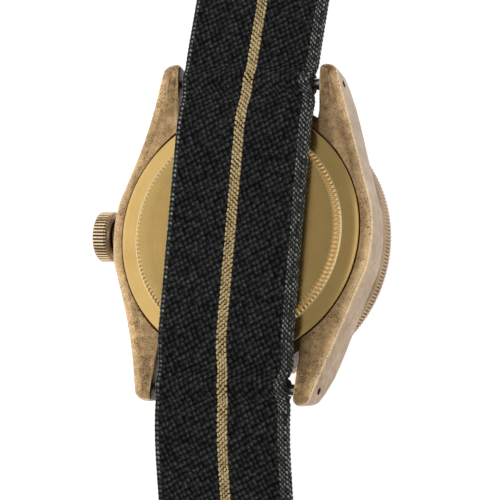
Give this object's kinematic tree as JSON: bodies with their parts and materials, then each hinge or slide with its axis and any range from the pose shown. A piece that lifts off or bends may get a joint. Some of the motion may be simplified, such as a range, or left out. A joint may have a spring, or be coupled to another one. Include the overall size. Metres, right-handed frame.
{
  "type": "dive watch",
  "caption": "Round dive watch with a rotating bezel and a screw case back, on a one-piece woven strap with a pin buckle, laid open and face down.",
  "frame": {"origin": "on the watch's axis, on the surface that the crystal's crown rests on", "axes": "+Z out of the case back, towards the wrist; +Y towards 12 o'clock and the buckle; the crown is at -X, at 3 o'clock"},
  "size_m": [0.046, 0.2623, 0.0159],
  "materials": {
    "case_bronze": "aged satin bronze with dark speckled patina",
    "back_bronze": "golden bronze with fine circular brushing",
    "bezel_bronze": "aged satin bronze, coin edge",
    "crown_bronze": "satin bronze, knurled",
    "buckle_bronze": "aged satin bronze",
    "steel": "fine turned steel",
    "plate_steel": "nickel-plated movement plate, circular graining",
    "rotor_steel": "dark nickel, radial brushing",
    "train_brass": "gilt brass",
    "hand_gold": "satin rose-gold plate with pale inlay",
    "sapphire": "clear polished crystal",
    "nylon": "off-white gasket nylon",
    "seal_rubber": "black seal rubber",
    "insert_brown": "brown anodised insert, satin",
    "pip": "pale luminous paint",
    "dial_brown": "matt brown dial with pale markers",
    "rehaut_black": "matt dark flange",
    "strap_fabric": "charcoal woven strap with a khaki centre stripe"
  },
  "bodies": {
    "case": {"mid_case": "case_bronze", "crystal": "sapphire", "crystal_gasket": "nylon", "rehaut_ring": "rehaut_black", "bezel_click_spring": "steel", "case_back": "back_bronze", "case_back_gasket": "seal_rubber", "crown_tube": "crown_bronze", "dial": "dial_brown", "movement_ring": "plate_steel", "main_plate": "plate_steel", "train_bridge": "plate_steel", "balance_cock": "plate_steel", "rotor_bearing": "steel", "strap_middle": "strap_fabric", "strap_tunnel_12": "strap_fabric", "strap_tunnel_6": "strap_fabric", "spring_bar_12": "steel", "spring_bar_6": "steel"},
    "bezel": {"bezel": "bezel_bronze", "bezel_insert": "insert_brown", "bezel_pip": "pip"},
    "crown_slide": {"crown_gasket": "seal_rubber"},
    "crown": {"crown": "crown_bronze", "winding_stem": "steel"},
    "winding_pinion": {"winding_pinion": "steel"},
    "minute_hand": {"minute_hand": "hand_gold"},
    "hour_hand": {"hour_hand": "hand_gold"},
    "seconds_hand": {"seconds_hand": "hand_gold"},
    "mainspring_barrel": {"mainspring_barrel": "train_brass"},
    "centre_wheel": {"centre_wheel": "train_brass"},
    "third_wheel": {"third_wheel": "train_brass"},
    "fourth_wheel": {"fourth_wheel": "train_brass"},
    "escape_wheel": {"escape_wheel": "steel"},
    "pallet_fork": {"pallet_fork": "steel"},
    "balance_wheel": {"balance_wheel": "train_brass"},
    "winding_rotor": {"winding_rotor": "rotor_steel"},
    "bar_pin_12_left": {"bar_pin_12_left": "steel"},
    "bar_pin_12_right": {"bar_pin_12_right": "steel"},
    "bar_pin_6_left": {"bar_pin_6_left": "steel"},
    "bar_pin_6_right": {"bar_pin_6_right": "steel"},
    "strap_12_near": {"strap_12_near": "strap_fabric"},
    "strap_12_mid": {"strap_12_mid": "strap_fabric"},
    "strap_12_end": {"strap_12_end": "strap_fabric", "keeper_fixed": "strap_fabric"},
    "keeper_sliding": {"keeper_sliding": "strap_fabric"},
    "buckle": {"buckle_frame": "buckle_bronze", "buckle_bar": "steel"},
    "buckle_tongue": {"buckle_tongue": "buckle_bronze"},
    "strap_6_near": {"strap_6_near": "strap_fabric"},
    "strap_6_mid": {"strap_6_mid": "strap_fabric"},
    "strap_6_far": {"strap_6_far": "strap_fabric"},
    "strap_6_tail": {"strap_6_tail": "strap_fabric"}
  },
  "joints": [
    {"name": "bezel_turn", "type": "hinge", "parent": "case", "child": "bezel", "pos_m": [0, 0, 0.003], "axis": [0, 0, 1], "continuous": true},
    {"name": "crown_pull", "type": "slide", "parent": "case", "child": "crown_slide", "axis": [-1, 0, 0], "range_m": [0, 0.0017]},
    {"name": "crown_turn", "type": "hinge", "parent": "crown_slide", "child": "crown", "pos_m": [-0.02, 0, 0.0082], "axis": [-1, 0, 0], "continuous": true},
    {"name": "winding_pinion_turn", "type": "hinge", "parent": "case", "child": "winding_pinion", "pos_m": [-0.012, 0, 0.0082], "axis": [-1, 0, 0], "continuous": true},
    {"name": "minute_hand_turn", "type": "hinge", "parent": "case", "child": "minute_hand", "pos_m": [0, 0, 0.005], "axis": [0, 0, 1], "continuous": true},
    {"name": "hour_hand_turn", "type": "hinge", "parent": "case", "child": "hour_hand", "pos_m": [0, 0, 0.005], "axis": [0, 0, 1], "continuous": true},
    {"name": "seconds_hand_turn", "type": "hinge", "parent": "case", "child": "seconds_hand", "pos_m": [0, 0, 0.005], "axis": [0, 0, 1], "continuous": true},
    {"name": "barrel_turn", "type": "hinge", "parent": "case", "child": "mainspring_barrel", "pos_m": [-0.0065, 0.0055, 0.0095], "axis": [0, 0, 1], "continuous": true},
    {"name": "centre_wheel_turn", "type": "hinge", "parent": "case", "child": "centre_wheel", "pos_m": [0, 0, 0.009], "axis": [0, 0, 1], "continuous": true},
    {"name": "third_wheel_turn", "type": "hinge", "parent": "case", "child": "third_wheel", "pos_m": [0.006, -0.003, 0.0095], "axis": [0, 0, 1], "continuous": true},
    {"name": "fourth_wheel_turn", "type": "hinge", "parent": "case", "child": "fourth_wheel", "pos_m": [0, 0, 0.01], "axis": [0, 0, 1], "continuous": true},
    {"name": "escape_wheel_turn", "type": "hinge", "parent": "case", "child": "escape_wheel", "pos_m": [-0.0036, -0.0039, 0.0095], "axis": [0, 0, 1], "continuous": true},
    {"name": "pallet_fork_swing", "type": "hinge", "parent": "case", "child": "pallet_fork", "pos_m": [-0.0033, -0.0076, 0.0093], "axis": [0, 0, 1], "range_deg": [-6, 6]},
    {"name": "balance_swing", "type": "hinge", "parent": "case", "child": "balance_wheel", "pos_m": [-0.0028, -0.0104, 0.0102], "axis": [0, 0, 1], "range_deg": [-270, 270], "stiffness_Nm_per_rad": 0.0000004},
    {"name": "rotor_turn", "type": "hinge", "parent": "case", "child": "winding_rotor", "pos_m": [0, 0, 0.0125], "axis": [0, 0, 1], "continuous": true},
    {"name": "bar_pin_12_left_press", "type": "slide", "parent": "case", "child": "bar_pin_12_left", "axis": [-1, 0, 0], "range_m": [0, 0.0017], "stiffness_N_per_m": 300},
    {"name": "bar_pin_12_right_press", "type": "slide", "parent": "case", "child": "bar_pin_12_right", "axis": [1, 0, 0], "range_m": [0, 0.0017], "stiffness_N_per_m": 300},
    {"name": "bar_pin_6_left_press", "type": "slide", "parent": "case", "child": "bar_pin_6_left", "axis": [-1, 0, 0], "range_m": [0, 0.0017], "stiffness_N_per_m": 300},
    {"name": "bar_pin_6_right_press", "type": "slide", "parent": "case", "child": "bar_pin_6_right", "axis": [1, 0, 0], "range_m": [0, 0.0017], "stiffness_N_per_m": 300},
    {"name": "strap_12_at_bar", "type": "hinge", "parent": "case", "child": "strap_12_near", "pos_m": [0, 0.0232, 0.011], "axis": [1, 0, 0], "range_deg": [-12, 60]},
    {"name": "strap_12_bend_1", "type": "hinge", "parent": "strap_12_near", "child": "strap_12_mid", "pos_m": [0, 0.046, 0.00833], "axis": [1, 0, 0], "range_deg": [-15, 40]},
    {"name": "strap_12_bend_2", "type": "hinge", "parent": "strap_12_mid", "child": "strap_12_end", "pos_m": [0, 0.072, 0.00158], "axis": [1, 0, 0], "range_deg": [-15, 35]},
    {"name": "keeper_slide", "type": "slide", "parent": "strap_12_end", "child": "keeper_sliding", "axis": [0, 1, 0], "range_m": [-0.0025, 0.004]},
    {"name": "buckle_swing", "type": "hinge", "parent": "strap_12_end", "child": "buckle", "pos_m": [0, 0.101, 0.0021], "axis": [1, 0, 0], "range_deg": [-45, 60]},
    {"name": "tongue_swing", "type": "hinge", "parent": "buckle", "child": "buckle_tongue", "pos_m": [0, 0.101, 0.0021], "axis": [1, 0, 0], "range_deg": [-80, 0]},
    {"name": "strap_6_at_bar", "type": "hinge", "parent": "case", "child": "strap_6_near", "pos_m": [0, -0.0232, 0.011], "axis": [-1, 0, 0], "range_deg": [-12, 60]},
    {"name": "strap_6_bend_1", "type": "hinge", "parent": "strap_6_near", "child": "strap_6_mid", "pos_m": [0, -0.046, 0.00575], "axis": [-1, 0, 0], "range_deg": [-15, 40]},
    {"name": "strap_6_bend_2", "type": "hinge", "parent": "strap_6_mid", "child": "strap_6_far", "pos_m": [0, -0.072, 0.00068], "axis": [-1, 0, 0], "range_deg": [-15, 35]},
    {"name": "strap_6_bend_3", "type": "hinge", "parent": "strap_6_far", "child": "strap_6_tail", "pos_m": [0, -0.098, 0.00068], "axis": [-1, 0, 0], "range_deg": [-15, 25]}
  ],
  "couplings": [
    {"joint": "hour_hand_turn", "follows": "minute_hand_turn", "ratio": 0.083333},
    {"joint": "seconds_hand_turn", "follows": "minute_hand_turn", "ratio": 60},
    {"joint": "centre_wheel_turn", "follows": "minute_hand_turn", "ratio": 1},
    {"joint": "barrel_turn", "follows": "minute_hand_turn", "ratio": -0.125},
    {"joint": "third_wheel_turn", "follows": "minute_hand_turn", "ratio": -8},
    {"joint": "fourth_wheel_turn", "follows": "minute_hand_turn", "ratio": 60},
    {"joint": "escape_wheel_turn", "follows": "minute_hand_turn", "ratio": -600},
    {"joint": "winding_pinion_turn", "follows": "crown_turn", "ratio": 1}
  ]
}
